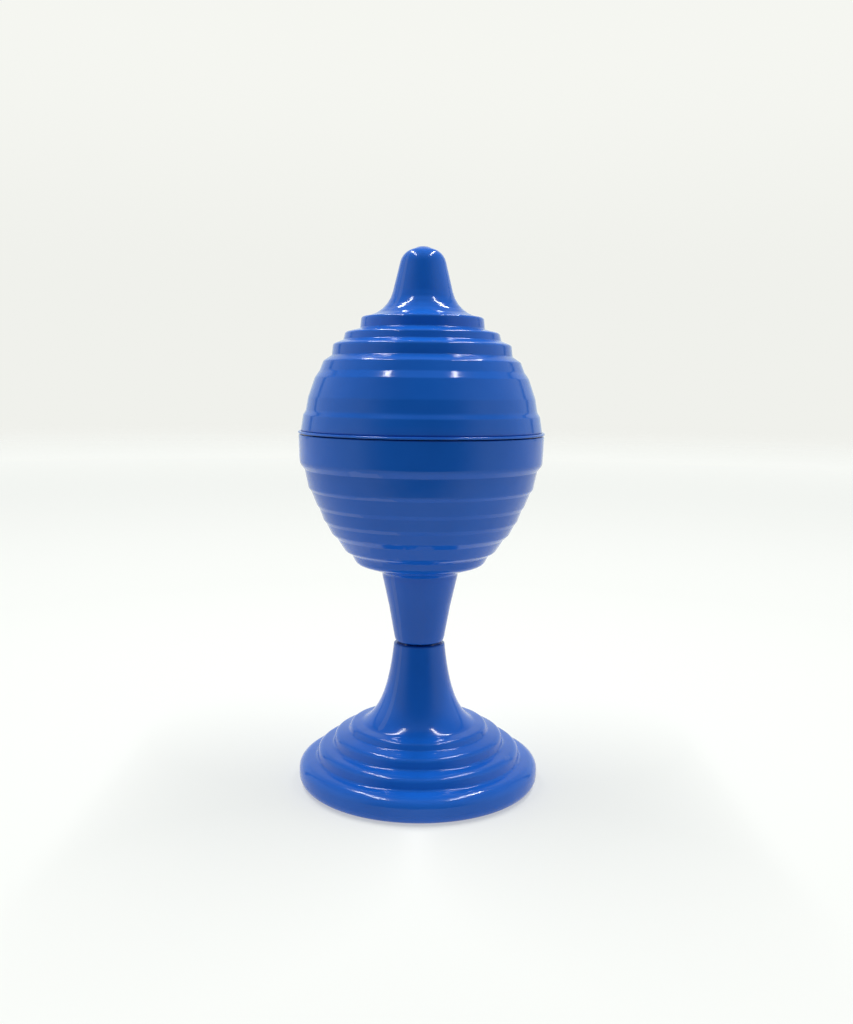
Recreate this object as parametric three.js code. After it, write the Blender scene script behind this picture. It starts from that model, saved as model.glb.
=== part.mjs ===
// Ball and vase: a footed cup with a lid, a ball that sits in the cup, and a false half ball
// on a ring that hides the real one. Every piece is a body of revolution about +Z.
// Millimetres, +Z up, origin on the ground under the middle of the foot.
import * as THREE from 'three';

// Driving dimensions
const HEIGHT = 100;
const LID_RADIUS = 22.2;
const RIM_RADIUS = 22.6;
const LIP_RADIUS = 22.7;
const FOOT_RADIUS = 22.65;
const BALL_RADIUS = 17.5;
const BALL_CENTRE = 66;
const CLEARANCE = 0.3;

// Heights where the pieces meet
const RIM_TOP = 65.8;
const LIP_BOTTOM = 66.1;
const LIP_TOP = 66.5;
const LID_BOTTOM = 66.8;
const STEM_BOTTOM = 27.25;
const FOOT_TOP = 26.85;

// The ring between the cup and the lid: a skirt goes into the cup, a collar goes into the lid
const SKIRT_RADIUS = 19.9;
const SKIRT_BOTTOM = 63;
const COLLAR_RADIUS = 20.0;
const COLLAR_TOP = 67.8;
const RING_BORE = 18.1;
const SEAT_TOP = 64.9;

// Hollow ball, false ball and their clearances
const SHELL_INNER = 18.0;
const SHELL_OUTER = 18.9;
const RECESS_RADIUS = 17.9;
const LID_INNER = 19.7;
const FINIAL_BORE = 2.7;

// The stem's spigot and socket
const SPIGOT_RADIUS = 2.3;
const SPIGOT_TOP = 35.5;
const SOCKET_TOP = 44;
const CORE_RADIUS = 2.6;

// Mesh fineness
const SIDES = 48;
const BALL_STEPS = 14;

const bluePlastic = { color: 0x0f4fb4, roughness: 0.18, metalness: 0 };
const redPlastic = { color: 0xb8121a, roughness: 0.2, metalness: 0 };

// Turns corners of [radius, height, fillet] into an outline whose filleted corners are arcs.
function outline(corners) {
  const points = [];
  corners.forEach(([radius, height, fillet = 0], index) => {
    const corner = new THREE.Vector2(radius, height);
    if (fillet === 0) {
      points.push(corner);
      return;
    }
    const before = new THREE.Vector2(...corners[index - 1]).sub(corner).normalize();
    const after = new THREE.Vector2(...corners[index + 1]).sub(corner).normalize();
    const halfAngle = Math.acos(before.dot(after)) / 2;
    const reach = fillet / Math.tan(halfAngle);
    const centre = before.clone().add(after).normalize();
    centre.multiplyScalar(fillet / Math.sin(halfAngle)).add(corner);
    const start = before.clone().multiplyScalar(reach).add(corner).sub(centre);
    const end = after.clone().multiplyScalar(reach).add(corner).sub(centre);
    let turn = end.angle() - start.angle();
    if (turn > Math.PI) turn -= 2 * Math.PI;
    if (turn < -Math.PI) turn += 2 * Math.PI;
    const steps = fillet > 2 ? 4 : fillet > 0.8 ? 2 : 1;
    for (let step = 0; step <= steps; step += 1) {
      points.push(start.clone().rotateAround(new THREE.Vector2(), (turn * step) / steps).add(centre));
    }
  });
  return points;
}

// Points on a circle about (0, BALL_CENTRE), between two angles measured up from the horizontal.
function ballArc(radius, fromAngle, toAngle, steps) {
  const points = [];
  for (let step = 0; step <= steps; step += 1) {
    const angle = fromAngle + ((toAngle - fromAngle) * step) / steps;
    points.push(new THREE.Vector2(radius * Math.cos(angle), BALL_CENTRE + radius * Math.sin(angle)));
  }
  points.forEach((point) => {
    if (Math.abs(point.x) < 1e-6) point.x = 0;
  });
  return points;
}

function piece(name, profile, look) {
  // LatheGeometry faces out when its profile runs upwards along the outside.
  const geometry = new THREE.LatheGeometry(profile, SIDES);
  geometry.rotateX(Math.PI / 2);
  const mesh = new THREE.Mesh(geometry, new THREE.MeshStandardMaterial(look));
  mesh.name = name;
  return mesh;
}

// The foot: a round base in four soft steps under a flared stem, cored out from below,
// with a spigot on top that the cup's stem slips over.
function foot() {
  const base = [
    [0, FOOT_TOP - 2.85],
    [CORE_RADIUS - 0.3, FOOT_TOP - 2.85],
    [CORE_RADIUS, 18],
    [5.6, 12.2, 2],
    [9, 9.8],
    [12.8, 8],
    [16, 5.6],
    [18.2, 3.2, 1],
    [18.4, 0],
    [FOOT_RADIUS, 0, 1.9],
    [FOOT_RADIUS, 4.6, 2],
    [19.35, 5, 0.5],
    [18.85, 7.1, 1.2],
    [16.15, 7.45, 0.5],
    [15.75, 9.4, 1],
    [13.25, 10, 0.5],
    [12.75, 11.25, 0.8],
  ];
  const flare = new THREE.CubicBezierCurve(
    new THREE.Vector2(10.6, 11.55),
    new THREE.Vector2(6.85, 14.8),
    new THREE.Vector2(5.25, 19),
    new THREE.Vector2(4.85, 26.4),
  );
  const top = [
    [4.5, FOOT_TOP],
    [SPIGOT_RADIUS, FOOT_TOP],
    [SPIGOT_RADIUS, SPIGOT_TOP - 0.4],
    [SPIGOT_RADIUS - 0.4, SPIGOT_TOP],
    [0, SPIGOT_TOP],
  ];
  const join = flare.getPoint(0);
  base.push([join.x, join.y]);
  const profile = [...outline(base), ...flare.getPoints(8).slice(1), ...outline(top)];
  return piece('foot', profile, bluePlastic);
}

// The cup: a ringed bowl on a tapering stem, with a round recess for the ball and a rebate
// at the rim for the ring's skirt.
function cup() {
  const underside = [
    [0, SOCKET_TOP],
    [CORE_RADIUS, SOCKET_TOP - 0.6],
    [CORE_RADIUS, STEM_BOTTOM],
    [4.45, STEM_BOTTOM, 0.4],
    [4.72, 28],
    [5.8, 34],
    [7.03, 39.5],
    [7.15, 40.5, 0.8],
  ];
  // Each ring of the bowl: the radius and height of its lower edge, the fillet there, then the
  // radius and height of the corner where it meets the ring above.
  const rings = [
    [11.95, 42.1, 1.8, 12.85, 43.85],
    [14.1, 44.6, 1.3, 15.55, 46.9],
    [16.55, 47.8, 1.1, 17.5, 49.65],
    [18.05, 50.35, 1.1, 18.8, 52.45],
    [19.3, 53.15, 1.1, 20.3, 55.7],
    [20.8, 56.3, 1, 21.5, 59.7],
  ];
  const corners = [...underside];
  for (const [edgeRadius, edgeZ, fillet, cornerRadius, cornerZ] of rings) {
    corners.push([edgeRadius, edgeZ, fillet], [cornerRadius, cornerZ]);
  }
  const rebate = SKIRT_RADIUS + CLEARANCE;
  const floor = SKIRT_BOTTOM - CLEARANCE;
  corners.push(
    [RIM_RADIUS - 0.2, 60.8, 1.6],
    [RIM_RADIUS, RIM_TOP],
    [rebate, RIM_TOP],
    [rebate, floor],
  );
  const recessStart = Math.asin((floor - BALL_CENTRE) / RECESS_RADIUS);
  const recess = ballArc(RECESS_RADIUS, recessStart, -Math.PI / 2, 9);
  return piece('cup', [...outline(corners), ...recess], bluePlastic);
}

// The solid ball.
function ball() {
  const profile = ballArc(BALL_RADIUS, -Math.PI / 2, Math.PI / 2, BALL_STEPS);
  return piece('ball', profile, redPlastic);
}

// The ring: a thin lip that shows at the seam, a skirt below it, a collar above it and a seat
// for the false half ball.
function shellRing() {
  const seatRadius = SHELL_OUTER + CLEARANCE;
  const corners = [
    [RING_BORE, SKIRT_BOTTOM],
    [SKIRT_RADIUS, SKIRT_BOTTOM],
    [SKIRT_RADIUS, LIP_BOTTOM],
    [LIP_RADIUS, LIP_BOTTOM],
    [LIP_RADIUS, LIP_TOP],
    [COLLAR_RADIUS, LIP_TOP],
    [COLLAR_RADIUS, COLLAR_TOP],
    [seatRadius, COLLAR_TOP],
    [seatRadius, SEAT_TOP],
    [RING_BORE, SEAT_TOP],
    [RING_BORE, SKIRT_BOTTOM],
  ];
  return piece('shell_ring', outline(corners), bluePlastic);
}

// The false half ball: a thin dome with a short straight foot that stands in the ring's seat.
function halfBall() {
  const bottom = SEAT_TOP + CLEARANCE;
  const outside = ballArc(SHELL_OUTER, 0, Math.PI / 2, 8);
  const inside = ballArc(SHELL_INNER, Math.PI / 2, 0, 8);
  const start = new THREE.Vector2(SHELL_INNER, bottom);
  const edge = new THREE.Vector2(SHELL_OUTER, bottom);
  return piece('half_ball', [start, edge, ...outside, ...inside, start.clone()], redPlastic);
}

// The lid: a ringed dome with a drawn-up finial, hollow inside.
function lid() {
  const mouth = COLLAR_RADIUS + CLEARANCE;
  const mouthTop = COLLAR_TOP + 0.5;
  // The ringed side from the mouth up: two corners of [radius, height, fillet] in every row.
  const rings = [
    [21.75, 69.5, 1.5, 21.2, 70.7, 1],
    [20.85, 72.8, 2, 19.6, 76.4, 1.2],
    [18.75, 77.6, 0.8, 18.05, 79.4, 0.8],
    [16.55, 80.4, 0.35, 16.3, 82.45, 0.6],
    [14.45, 83.2, 0.3, 14.1, 84.6, 0.6],
    [11.4, 85.3, 0.3, 11.2, 87.4, 0.5],
  ];
  const corners = [
    [mouth, mouthTop],
    [mouth, LID_BOTTOM],
    [LID_RADIUS, LID_BOTTOM],
  ];
  for (const [firstRadius, firstZ, firstFillet, nextRadius, nextZ, nextFillet] of rings) {
    corners.push([firstRadius, firstZ, firstFillet], [nextRadius, nextZ, nextFillet]);
  }
  corners.push(
    [6.5, 87.85, 6],
    [3.7, 99.2, 2.8],
    [1.5, 99.6],
    [1.1, HEIGHT],
    [0, HEIGHT],
  );
  const boreStart = Math.acos(FINIAL_BORE / LID_INNER);
  const domeEnd = Math.asin((mouthTop - BALL_CENTRE) / LID_INNER);
  const bore = [
    new THREE.Vector2(0, 96),
    new THREE.Vector2(FINIAL_BORE - 0.7, 95.2),
  ];
  const dome = ballArc(LID_INNER, boreStart, domeEnd, 8);
  const close = new THREE.Vector2(mouth, mouthTop);
  return piece('lid', [...outline(corners), ...bore, ...dome, close], bluePlastic);
}

const vase = new THREE.Group();
vase.add(foot(), cup(), ball(), shellRing(), halfBall(), lid());

export default vase;
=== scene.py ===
import math

import bpy
from mathutils import Matrix, Vector


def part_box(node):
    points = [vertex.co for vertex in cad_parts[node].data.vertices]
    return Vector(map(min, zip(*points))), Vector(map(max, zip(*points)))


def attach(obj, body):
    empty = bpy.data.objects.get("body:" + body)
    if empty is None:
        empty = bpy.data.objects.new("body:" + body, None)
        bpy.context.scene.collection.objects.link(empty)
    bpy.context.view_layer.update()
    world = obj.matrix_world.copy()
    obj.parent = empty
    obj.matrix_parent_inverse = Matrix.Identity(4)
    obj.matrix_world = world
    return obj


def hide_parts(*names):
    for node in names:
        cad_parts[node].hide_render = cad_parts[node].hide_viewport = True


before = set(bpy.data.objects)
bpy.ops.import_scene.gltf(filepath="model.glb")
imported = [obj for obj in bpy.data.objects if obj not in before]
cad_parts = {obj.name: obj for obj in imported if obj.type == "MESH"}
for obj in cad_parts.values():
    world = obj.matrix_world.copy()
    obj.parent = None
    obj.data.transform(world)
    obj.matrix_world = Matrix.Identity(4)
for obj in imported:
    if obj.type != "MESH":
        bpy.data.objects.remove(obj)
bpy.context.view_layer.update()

# A ball and vase in glossy plastic, all of it bodies of revolution about Z.
# Outlines are in millimetres, as (radius, height) or (radius, height, fillet). Blender uses metres.
MM = 0.001

# Mesh fineness
TURNS = 180            # sides of every lathed piece
ARC_STEPS = 6          # steps in a fillet
FLARE_STEPS = 24       # steps along the foot's flare
BALL_STEPS = 90        # steps from the bottom of the ball to its top
DOME_STEPS = 48        # steps on each side of the half ball
HOLLOW_STEPS = 40      # steps in the cup's recess and inside the lid
LONG_STRETCH = 1.2     # a straight stretch longer than this gets extra points
EDGE_PAD = 0.35        # distance from its ends to those points
ON_AXIS = 1e-5         # a radius below this is on the axis
NORMAL_WEIGHT = 80     # how strongly larger faces set the shading of the edges beside them

# Foot and stem
FOOT_TOP = 26.85       # shoulder of the foot's stem
CORE_RADIUS = 2.6      # bore in both halves of the stem
CORE_TOP = 24          # top of the foot's bore
SPIGOT_RADIUS = 2.3
SPIGOT_CHAMFER = 0.4
SOCKET_TOP = 44        # top of the cup's bore

# Cup, ball, ring, half ball and lid
SEAM_LIFT = 0.3        # that the cup's finished rim stands above the CAD rim
BALL_CENTRE = 66.0     # height of the ball's centre, which is also the centre of the domes
BALL_RADIUS = 17.5
RECESS_RADIUS = 17.9   # round hollow in the cup that the ball lies in
RECESS_ANGLE = -10.62  # degrees, where that hollow meets the rebate's floor
RECESS_EDGE = 17.59    # its radius there
REBATE_RADIUS = 20.2   # step inside the cup's rim for the ring's skirt
REBATE_FLOOR = 62.7
RING_BORE = 18.1
RING_CHAMFER = 0.2
SKIRT_RADIUS = 19.9    # the part of the ring inside the cup
LIP_BOTTOM = 66.28     # the part of the ring that shows at the seam
LIP_TOP = 66.7
COLLAR_RADIUS = 20     # the part of the ring inside the lid
SEAT_RADIUS = 19.2     # step inside the ring for the half ball
SEAT_TOP = 64.9
SHELL_INNER = 18.0     # the half ball's two sides
SHELL_OUTER = 18.9
SHELL_CHAMFER = 0.1
LID_BOTTOM = 66.72
LID_MOUTH = 20.3       # bore of the lid over the ring's collar
LID_MOUTH_TOP = 68.3
LID_INNER = 19.7       # the lid's round inside
LID_DOME_START = 82.1  # degrees, where that round inside meets the finial's bore
LID_DOME_END = 5.53    # degrees, where it meets the mouth

# Plastic: the colours are linear, and a second colour is the paler end of the same plastic
BLUE = (0.007, 0.108, 0.53)
BLUE_PALE = (0.01, 0.124, 0.59)
BLUE_ROUGHNESS = 0.1
RED = (0.48, 0.008, 0.012)
RED_PALE = (0.55, 0.012, 0.015)
RED_ROUGHNESS = 0.12
PLASTIC_IOR = 1.49
PLASTIC_SPECULAR = 0.3
FLOW_SCALE = 90        # how fine the colour's flow is
FLOW_DETAIL = 3
FLOW_RANGE = (0.3, 0.75)       # noise values of the full colour and of its paler end
WAVE_SCALE = 180       # how fine the surface's waviness is
WAVE_DETAIL = 2
SCUFF_SCALE = 2200     # how fine the turning marks are along the axis
SCUFF_STRETCH = 0.12   # how fine they are round the piece, against that
SCUFF_DETAIL = 4
SCUFF_RANGE = (0.3, 0.8)       # noise values of unmarked and of fully marked plastic
SCUFF_ROUGHNESS = 0.08         # roughness that the marks add
SCUFF_RELIEF = 0.04    # their height against the waviness
BUMP_STRENGTH = 0.6
BUMP_DISTANCE = 0.00012
WORN_POINTINESS = (0.51, 0.6)  # where an edge starts to be rubbed, and where it is fully rubbed
WORN_SHARE = 0.3       # share of the worn colour on a fully rubbed edge
WORN_TINT = 0.75       # the worn colour is this much of the pale one
WORN_WHITE = 0.12      # plus this much white

# Floor: distances in metres from its middle
FLOOR_REACH = 2.2
FLOOR_SIDES = 96
FLOOR_COLOUR = (0.42, 0.422, 0.412, 1)
FLOOR_GLOW_COLOUR = (1.0, 1.0, 0.97, 1)
FLOOR_ROUGHNESS = 0.8
FLOOR_SPECULAR = 0.1
FLOOR_FADE = (0.6, 1.7)       # where it starts to turn clear, and where it is clear
GLOW_REACH = (0.2, 0.9)
GLOW = (0.46, 0.74)           # its own light at those two distances
OPEN_FRONT = (-0.09, -0.13)   # where the tent's open front starts, along Y

# Lamps, in metres and watts
BAR_SIDE = 0.18
BAR_DEPTH = 0.06
BAR_HEIGHT = 0.46
BAR_AIM_HEIGHT = 0.03
BAR_WIDTH = 0.02
BAR_LENGTH = 0.42
BAR_POWER = 1.3

# Light tent: the world's brightness by direction, each a start, an end and the value at both
TENT_COLOUR = (0.9, 1.0, 0.97, 1)
TENT_SIDES = (-0.9, -0.4, 0.07, 0.92)    # from the dark front to the side and back walls
TENT_ROOF = (0.3, 0.75, 1.0, 0.4)        # from the walls up to the dim roof
CORNER_SLOPE = 0.85                      # depth over width of the back corners
CORNER_EDGE = (0.04, 0.1, 0.1, 1.0)      # from the dark corner line to the wall beside it
BACKDROP_COLOUR = (0.871, 0.879, 0.838, 1)
BACKDROP_RISE = (0.08, 0.3, 1.0, 1.05)   # from low to high on the backdrop

# Camera: where it stands in mm, how far it looks down, how much it leans, and its lens
CAMERA_AT = (1.1, -191.4, 75.3)
CAMERA_PITCH = math.radians(7.05)
CAMERA_ROLL = math.radians(0.64)
CAMERA_LENS = 36.27
CAMERA_NEAR = 0.01     # metres
CAMERA_FAR = 20


# ---------------------------------------------------------------- outlines

def rounded(corners):
    """Corners of (radius, height, fillet) become points whose filleted corners are arcs."""
    points = []
    for index, corner in enumerate(corners):
        here = Vector(corner[:2])
        fillet = corner[2] if len(corner) > 2 else 0
        if not fillet:
            points.append(here)
            continue
        before = (Vector(corners[index - 1][:2]) - here).normalized()
        after = (Vector(corners[index + 1][:2]) - here).normalized()
        half = before.angle(after) / 2
        centre = here + (before + after).normalized() * (fillet / math.sin(half))
        start = here + before * (fillet / math.tan(half)) - centre
        turn = start.angle_signed(here + after * (fillet / math.tan(half)) - centre)
        for step in range(ARC_STEPS + 1):
            points.append(centre + start @ Matrix.Rotation(turn * step / ARC_STEPS, 2))
    return points


def dome(radius, start, end, steps):
    """Points on a circle about the ball's centre; the angles are in degrees above the horizon."""
    points = []
    for step in range(steps + 1):
        angle = math.radians(start + (end - start) * step / steps)
        points.append(Vector((radius * math.cos(angle), BALL_CENTRE + radius * math.sin(angle))))
    return points


def bezier(a, b, c, d, steps):
    """Points on a cubic curve from a to d with handles b and c."""
    a, b, c, d = map(Vector, (a, b, c, d))
    points = []
    for step in range(steps + 1):
        t = step / steps
        s = 1 - t
        points.append(a * s**3 + b * 3 * s * s * t + c * 3 * s * t * t + d * t**3)
    return points


def padded(profile):
    """Adds points near both ends of every long stretch, which keeps wear and shading at its ends."""
    points = [profile[0]]
    for start, end in zip(profile, profile[1:]):
        along = end - start
        if along.length > LONG_STRETCH:
            pad = along.normalized() * EDGE_PAD
            points += [start + pad, end - pad]
        points.append(end)
    return points


def lathe(name, profile, closed=False):
    """Turns an outline in mm about the Z axis into a smooth mesh in metres."""
    verts = []
    faces = []
    columns = []
    for x, z in padded(profile):
        if abs(x) < ON_AXIS:
            columns.append([len(verts)] * TURNS)
            verts.append((0.0, 0.0, z * MM))
            continue
        columns.append(list(range(len(verts), len(verts) + TURNS)))
        for turn in range(TURNS):
            angle = 2 * math.pi * turn / TURNS
            verts.append((x * math.cos(angle) * MM, x * math.sin(angle) * MM, z * MM))
    pairs = list(zip(columns, columns[1:]))
    if closed:
        pairs.append((columns[-1], columns[0]))
    for lower, upper in pairs:
        for turn in range(TURNS):
            after = (turn + 1) % TURNS
            ring = [lower[turn], lower[after], upper[after], upper[turn]]
            # A ring that touches the axis makes triangles there.
            corners = list(dict.fromkeys(ring))
            if len(corners) > 2:
                faces.append(corners)
    mesh = bpy.data.meshes.new(name)
    mesh.from_pydata(verts, [], faces)
    mesh.validate()
    mesh.shade_smooth()
    piece = bpy.data.objects.new(name, mesh)
    bpy.context.scene.collection.objects.link(piece)
    weighted = piece.modifiers.new("weighted", "WEIGHTED_NORMAL")
    weighted.weight = NORMAL_WEIGHT
    return piece


# ---------------------------------------------------------------- pieces

def make_foot():
    """The stepped base under a flared stem, bored from below, with a spigot on top."""
    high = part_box("foot")[1]
    outer = high.x / MM
    spigot_top = high.z / MM
    flare_start = (10.6, 11.55)
    flare_end = (4.85, 26.3)
    # The bore and the hollow under the base, then the steps of the base from the ground up
    base = [
        (0, CORE_TOP), (SPIGOT_RADIUS, CORE_TOP), (CORE_RADIUS, 18),
        (5.6, 12.2, 2), (9, 9.8), (12.8, 8, 1), (16, 5.6, 2), (18.2, 3.2, 1),
        (18.4, 0.2), (18.6, 0), (outer, 0, 1.9), (outer, 4.6, 2),
        (19.35, 5, 0.6), (18.85, 7.1, 1.2),
        (16.15, 7.45, 0.6), (15.75, 9.4, 1),
        (13.25, 10, 0.5), (12.75, 11.25, 0.8),
        flare_start,
    ]
    flare = bezier(flare_start, (7.2, 13.6), (5.65, 18.8), flare_end, FLARE_STEPS)
    neck = [
        flare_end, (4.8, FOOT_TOP, 0.35), (SPIGOT_RADIUS, FOOT_TOP),
        (SPIGOT_RADIUS, spigot_top - SPIGOT_CHAMFER), (SPIGOT_RADIUS - SPIGOT_CHAMFER, spigot_top),
        (0, spigot_top),
    ]
    return lathe("foot_body", rounded(base)[:-1] + flare + rounded(neck)[1:])


def make_cup():
    """The ringed bowl on its stem, with a round recess for the ball."""
    low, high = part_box("cup")
    bottom = low.z / MM
    rim = high.x / MM
    rim_top = high.z / MM + SEAM_LIFT
    stem = [
        (0, SOCKET_TOP), (CORE_RADIUS, 43.4), (CORE_RADIUS, bottom), (4.5, bottom, 0.4),
        (4.72, 28), (5.8, 34, 20), (7.03, 39.5, 3), (7.15, 40.5, 0.8),
    ]
    # Rings of the bowl: lower edge (radius, height, fillet), then the corner under the next ring
    bowl = [
        (11.95, 42.1, 1.8, 12.85, 43.85),
        (14.1, 44.6, 1.3, 15.55, 46.9),
        (16.55, 47.8, 1.1, 17.5, 49.65),
        (18.05, 50.35, 1.1, 18.8, 52.45),
        (19.3, 53.15, 1.1, 20.3, 55.7),
        (20.8, 56.3, 1, 21.5, 59.7),
    ]
    corner_fillet = 0.15
    corners = list(stem)
    for edge_radius, edge_z, fillet, corner_radius, corner_z in bowl:
        corners += [(edge_radius, edge_z, fillet), (corner_radius, corner_z, corner_fillet)]
    corners += [
        (rim - 0.2, 60.8, 1.6), (rim, rim_top, 0.25), (REBATE_RADIUS, rim_top, 0.1),
        (REBATE_RADIUS, REBATE_FLOOR), (RECESS_EDGE, REBATE_FLOOR),
    ]
    recess = dome(RECESS_RADIUS, RECESS_ANGLE, -90, HOLLOW_STEPS)
    return lathe("cup_body", rounded(corners)[:-1] + recess)


def make_ball():
    """The loose ball in the cup."""
    return lathe("ball_solid", dome(BALL_RADIUS, -90, 90, BALL_STEPS))


def make_shell_ring():
    """The ring between cup and lid: a skirt, a lip that shows at the seam, a collar and a seat."""
    low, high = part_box("shell_ring")
    bottom = low.z / MM
    top = high.z / MM
    lip = high.x / MM
    corners = [
        (RING_BORE, bottom + RING_CHAMFER), (RING_BORE + RING_CHAMFER, bottom),
        (SKIRT_RADIUS - RING_CHAMFER, bottom, 0.2), (SKIRT_RADIUS, 63.4), (SKIRT_RADIUS, LIP_BOTTOM),
        (lip, LIP_BOTTOM, 0.12), (lip, LIP_TOP, 0.28),
        (COLLAR_RADIUS, LIP_TOP), (COLLAR_RADIUS, top, 0.15),
        (SEAT_RADIUS, top, 0.1), (SEAT_RADIUS, SEAT_TOP), (RING_BORE, SEAT_TOP, 0.1),
    ]
    return lathe("ring_body", rounded(corners + corners[:1])[:-1], closed=True)


def make_half_ball():
    """The thin dome that stands in the ring's seat."""
    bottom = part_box("half_ball")[0].z / MM
    start = [
        Vector((SHELL_INNER, bottom + SHELL_CHAMFER)),
        Vector((SHELL_INNER + SHELL_CHAMFER, bottom)),
        Vector((SHELL_OUTER - SHELL_CHAMFER, bottom)),
        Vector((SHELL_OUTER, bottom + SHELL_CHAMFER)),
    ]
    outside = dome(SHELL_OUTER, 0, 90, DOME_STEPS)
    inside = dome(SHELL_INNER, 90, 0, DOME_STEPS)
    return lathe("half_ball_shell", start + outside + inside, closed=True)


def make_lid():
    """The ringed dome with its drawn-up finial, hollow inside."""
    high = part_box("lid")[1]
    edge = high.x / MM
    top = high.z / MM
    corners = [
        (LID_MOUTH, LID_MOUTH_TOP), (LID_MOUTH, LID_BOTTOM), (edge, LID_BOTTOM),
        (21.75, 69.6, 0.8), (21.25, 70.4, 1.4),
        (20.85, 72.8, 2), (19.6, 76.4, 1.2),
        (18.75, 77.6, 1.8), (18.05, 79.4, 0.5),
        (16.55, 80.4, 0.35), (16.3, 82.45, 0.6),
        (14.45, 83.2, 0.3), (14.1, 84.6, 0.6),
        (11.4, 85.3, 0.3), (11.2, 87.4, 0.5),
        (6.5, 87.85, 6), (3.7, 99.25, 3.2), (1.7, 99.7, 0.5), (1.0, top, 0.5), (0, top),
    ]
    bore = [Vector((0, 96)), Vector((2.0, 95.2))]
    inner = dome(LID_INNER, LID_DOME_START, LID_DOME_END, HOLLOW_STEPS)
    return lathe("lid_body", rounded(corners) + bore + inner, closed=True)


# ---------------------------------------------------------------- nodes

def noise(tree, vector, scale, detail):
    """A Noise Texture's value over the given coordinates."""
    node = tree.nodes.new("ShaderNodeTexNoise")
    node.inputs["Scale"].default_value = scale
    node.inputs["Detail"].default_value = detail
    tree.links.new(vector, node.inputs["Vector"])
    return node.outputs["Fac"]


def map_range(tree, value, start, end, low=0.0, high=1.0, smooth=False):
    """The value, mapped so that start gives low and end gives high."""
    node = tree.nodes.new("ShaderNodeMapRange")
    if smooth:
        node.interpolation_type = "SMOOTHSTEP"
    node.inputs["From Min"].default_value = start
    node.inputs["From Max"].default_value = end
    node.inputs["To Min"].default_value = low
    node.inputs["To Max"].default_value = high
    tree.links.new(value, node.inputs["Value"])
    return node.outputs["Result"]


def math_node(tree, operation, *values):
    """A Math node's result; each value is a number or another node's output."""
    node = tree.nodes.new("ShaderNodeMath")
    node.operation = operation
    for socket, value in zip(node.inputs, values):
        if isinstance(value, (int, float)):
            socket.default_value = value
        else:
            tree.links.new(value, socket)
    return node.outputs["Value"]


# ---------------------------------------------------------------- materials

def plastic(name, colour, pale, roughness):
    """Glossy moulded plastic: flow in the colour, rubbed edges, turning marks and a faint waviness."""
    material = bpy.data.materials.new(name)
    material.use_nodes = True
    tree = material.node_tree
    shader = tree.nodes["Principled BSDF"]
    shader.inputs["IOR"].default_value = PLASTIC_IOR
    shader.inputs["Specular IOR Level"].default_value = PLASTIC_SPECULAR
    place = tree.nodes.new("ShaderNodeTexCoord").outputs["Object"]

    # The plastic's own colour varies a little, as it flowed into the mould.
    tint = tree.nodes.new("ShaderNodeValToRGB")
    tint.color_ramp.elements[0].position = FLOW_RANGE[0]
    tint.color_ramp.elements[0].color = (*colour, 1)
    tint.color_ramp.elements[1].position = FLOW_RANGE[1]
    tint.color_ramp.elements[1].color = (*pale, 1)
    tree.links.new(noise(tree, place, FLOW_SCALE, FLOW_DETAIL), tint.inputs["Fac"])

    # Handling has rubbed the outer edges a little paler.
    shape = tree.nodes.new("ShaderNodeNewGeometry")
    rubbed = tree.nodes.new("ShaderNodeMix")
    rubbed.data_type = "RGBA"
    wear = map_range(tree, shape.outputs["Pointiness"], *WORN_POINTINESS, high=WORN_SHARE)
    tree.links.new(wear, rubbed.inputs["Factor"])
    tree.links.new(tint.outputs["Color"], rubbed.inputs["A"])
    rubbed.inputs["B"].default_value = (*[WORN_TINT * part + WORN_WHITE for part in pale], 1)
    tree.links.new(rubbed.outputs["Result"], shader.inputs["Base Color"])

    # The marks of turning the mould run round the piece: long across, short along the axis.
    turned = tree.nodes.new("ShaderNodeMapping")
    turned.inputs["Scale"].default_value = (SCUFF_STRETCH, SCUFF_STRETCH, 1)
    tree.links.new(place, turned.inputs["Vector"])
    scuff = noise(tree, turned.outputs["Vector"], SCUFF_SCALE, SCUFF_DETAIL)
    gloss = map_range(tree, scuff, *SCUFF_RANGE, roughness, roughness + SCUFF_ROUGHNESS)
    tree.links.new(gloss, shader.inputs["Roughness"])

    # The surface is faintly wavy, and the marks stand in that relief.
    wave = noise(tree, place, WAVE_SCALE, WAVE_DETAIL)
    bump = tree.nodes.new("ShaderNodeBump")
    bump.inputs["Strength"].default_value = BUMP_STRENGTH
    bump.inputs["Distance"].default_value = BUMP_DISTANCE
    relief = math_node(tree, "MULTIPLY_ADD", scuff, SCUFF_RELIEF, wave)
    tree.links.new(relief, bump.inputs["Height"])
    tree.links.new(bump.outputs["Normal"], shader.inputs["Normal"])
    return material


# ---------------------------------------------------------------- studio

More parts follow.
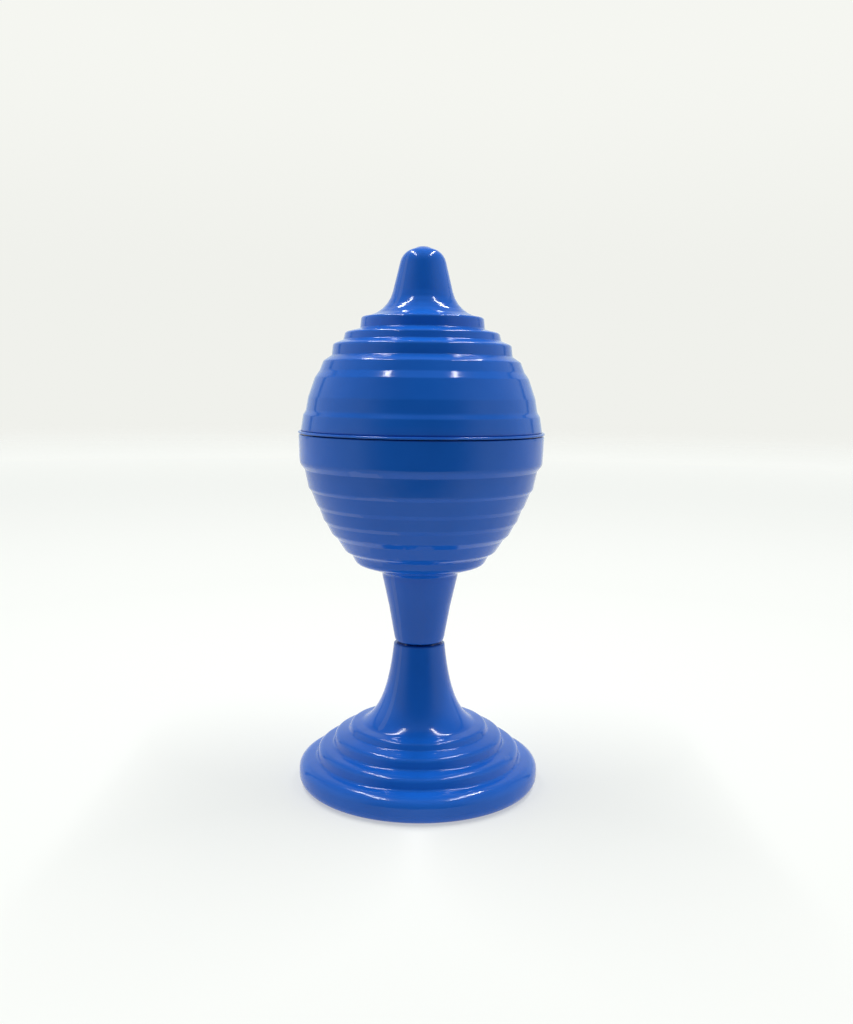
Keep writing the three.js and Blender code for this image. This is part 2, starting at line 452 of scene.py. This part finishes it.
def floor_paper():
    """Pale, partly self-lit paper that turns clear far from the object."""
    material = bpy.data.materials.new("floor_paper")
    material.use_nodes = True
    tree = material.node_tree
    shader = tree.nodes["Principled BSDF"]
    shader.inputs["Base Color"].default_value = FLOOR_COLOUR
    shader.inputs["Emission Color"].default_value = FLOOR_GLOW_COLOUR
    shader.inputs["Roughness"].default_value = FLOOR_ROUGHNESS
    shader.inputs["Specular IOR Level"].default_value = FLOOR_SPECULAR
    place = tree.nodes.new("ShaderNodeTexCoord").outputs["Object"]
    length = tree.nodes.new("ShaderNodeVectorMath")
    length.operation = "LENGTH"
    tree.links.new(place, length.inputs[0])
    distance = length.outputs["Value"]
    fade = map_range(tree, distance, *FLOOR_FADE, smooth=True)
    glow = map_range(tree, distance, *GLOW_REACH, *GLOW)
    tree.links.new(glow, shader.inputs["Emission Strength"])

    # Past the tent's open front the floor is dark: only the camera still sees it as pale.
    axes = tree.nodes.new("ShaderNodeSeparateXYZ")
    tree.links.new(place, axes.inputs["Vector"])
    front = map_range(tree, axes.outputs["Y"], *OPEN_FRONT)
    path = tree.nodes.new("ShaderNodeLightPath")
    unseen = math_node(tree, "SUBTRACT", front, path.outputs["Is Camera Ray"])
    gone = math_node(tree, "MAXIMUM", fade, unseen)
    clear = tree.nodes.new("ShaderNodeBsdfTransparent")
    mix = tree.nodes.new("ShaderNodeMixShader")
    tree.links.new(gone, mix.inputs["Fac"])
    tree.links.new(shader.outputs["BSDF"], mix.inputs[1])
    tree.links.new(clear.outputs["BSDF"], mix.inputs[2])
    tree.links.new(mix.outputs["Shader"], tree.nodes["Material Output"].inputs["Surface"])
    return material


def make_floor():
    """A round floor of paper about the object."""
    edge = []
    for side in range(FLOOR_SIDES):
        angle = 2 * math.pi * side / FLOOR_SIDES
        edge.append((FLOOR_REACH * math.cos(angle), FLOOR_REACH * math.sin(angle), 0))
    mesh = bpy.data.meshes.new("floor")
    mesh.from_pydata(edge, [], [list(range(FLOOR_SIDES))])
    mesh.materials.append(floor_paper())
    floor = bpy.data.objects.new("floor", mesh)
    bpy.context.scene.collection.objects.link(floor)


def make_bar(name, x, power):
    """One long lamp of the light tent's roof, running from front to back beside the object."""
    data = bpy.data.lights.new(name, "AREA")
    data.shape = "RECTANGLE"
    data.size = BAR_WIDTH
    data.size_y = BAR_LENGTH
    data.energy = power
    lamp = bpy.data.objects.new(name, data)
    bpy.context.scene.collection.objects.link(lamp)
    lamp.location = (x, BAR_DEPTH, BAR_HEIGHT)
    aim = Vector((0, BAR_DEPTH, BAR_AIM_HEIGHT)) - lamp.location
    lamp.rotation_euler = (0, math.atan2(-aim.x, -aim.z), 0)
    lamp.visible_camera = False


def make_world():
    """A light tent: pale walls at the sides and the back, a dark open front and a dimmer roof."""
    world = bpy.data.worlds.new("tent")
    bpy.context.scene.world = world
    world.use_nodes = True
    tree = world.node_tree
    tree.nodes.clear()
    where = tree.nodes.new("ShaderNodeTexCoord")
    axes = tree.nodes.new("ShaderNodeSeparateXYZ")
    tree.links.new(where.outputs["Generated"], axes.inputs["Vector"])
    sides = map_range(tree, axes.outputs["Y"], *TENT_SIDES, smooth=True)
    roof = map_range(tree, axes.outputs["Z"], *TENT_ROOF, smooth=True)

    # The tent's two back corners are thin dark upright lines.
    across = math_node(tree, "ABSOLUTE", axes.outputs["X"])
    slope = math_node(tree, "DIVIDE", axes.outputs["Y"], across)
    off_corner = math_node(tree, "ABSOLUTE", math_node(tree, "SUBTRACT", slope, CORNER_SLOPE))
    corners = map_range(tree, off_corner, *CORNER_EDGE, smooth=True)
    tent = math_node(tree, "MULTIPLY", math_node(tree, "MULTIPLY", sides, roof), corners)
    walls = tree.nodes.new("ShaderNodeBackground")
    walls.inputs["Color"].default_value = TENT_COLOUR
    tree.links.new(tent, walls.inputs["Strength"])

    # The camera sees a plain pale backdrop instead of the walls.
    backdrop = tree.nodes.new("ShaderNodeBackground")
    backdrop.inputs["Color"].default_value = BACKDROP_COLOUR
    rise = map_range(tree, axes.outputs["Z"], *BACKDROP_RISE, smooth=True)
    tree.links.new(rise, backdrop.inputs["Strength"])
    path = tree.nodes.new("ShaderNodeLightPath")
    mix = tree.nodes.new("ShaderNodeMixShader")
    tree.links.new(path.outputs["Is Camera Ray"], mix.inputs["Fac"])
    tree.links.new(walls.outputs["Background"], mix.inputs[1])
    tree.links.new(backdrop.outputs["Background"], mix.inputs[2])
    output = tree.nodes.new("ShaderNodeOutputWorld")
    tree.links.new(mix.outputs["Shader"], output.inputs["Surface"])


def make_camera():
    """A camera in front of the object, looking slightly down and leaning a little."""
    data = bpy.data.cameras.new("camera")
    data.lens = CAMERA_LENS
    data.clip_start = CAMERA_NEAR
    data.clip_end = CAMERA_FAR
    camera = bpy.data.objects.new("camera", data)
    bpy.context.scene.collection.objects.link(camera)
    tilt = Matrix.Rotation(math.pi / 2 - CAMERA_PITCH, 4, "X") @ Matrix.Rotation(CAMERA_ROLL, 4, "Z")
    camera.matrix_world = Matrix.Translation(Vector(CAMERA_AT) * MM) @ tilt
    bpy.context.scene.camera = camera


# ---------------------------------------------------------------- assembly

def fit(piece, node, body, material):
    """Gives a piece its material and its body, and hides the CAD node it stands for."""
    piece.data.materials.append(material)
    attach(piece, body)
    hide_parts(node)


blue = plastic("blue_plastic", BLUE, BLUE_PALE, BLUE_ROUGHNESS)
red = plastic("ball_plastic", RED, RED_PALE, RED_ROUGHNESS)

fit(make_foot(), "foot", "vase", blue)
fit(make_cup(), "cup", "vase", blue)
fit(make_ball(), "ball", "ball", red)
fit(make_shell_ring(), "shell_ring", "shell", blue)
fit(make_half_ball(), "half_ball", "shell", red)
fit(make_lid(), "lid", "lid", blue)

make_floor()
make_bar("bar_left", -BAR_SIDE, BAR_POWER)
make_bar("bar_right", BAR_SIDE, BAR_POWER)
make_world()
make_camera()
bpy.context.scene.view_settings.view_transform = "Standard"
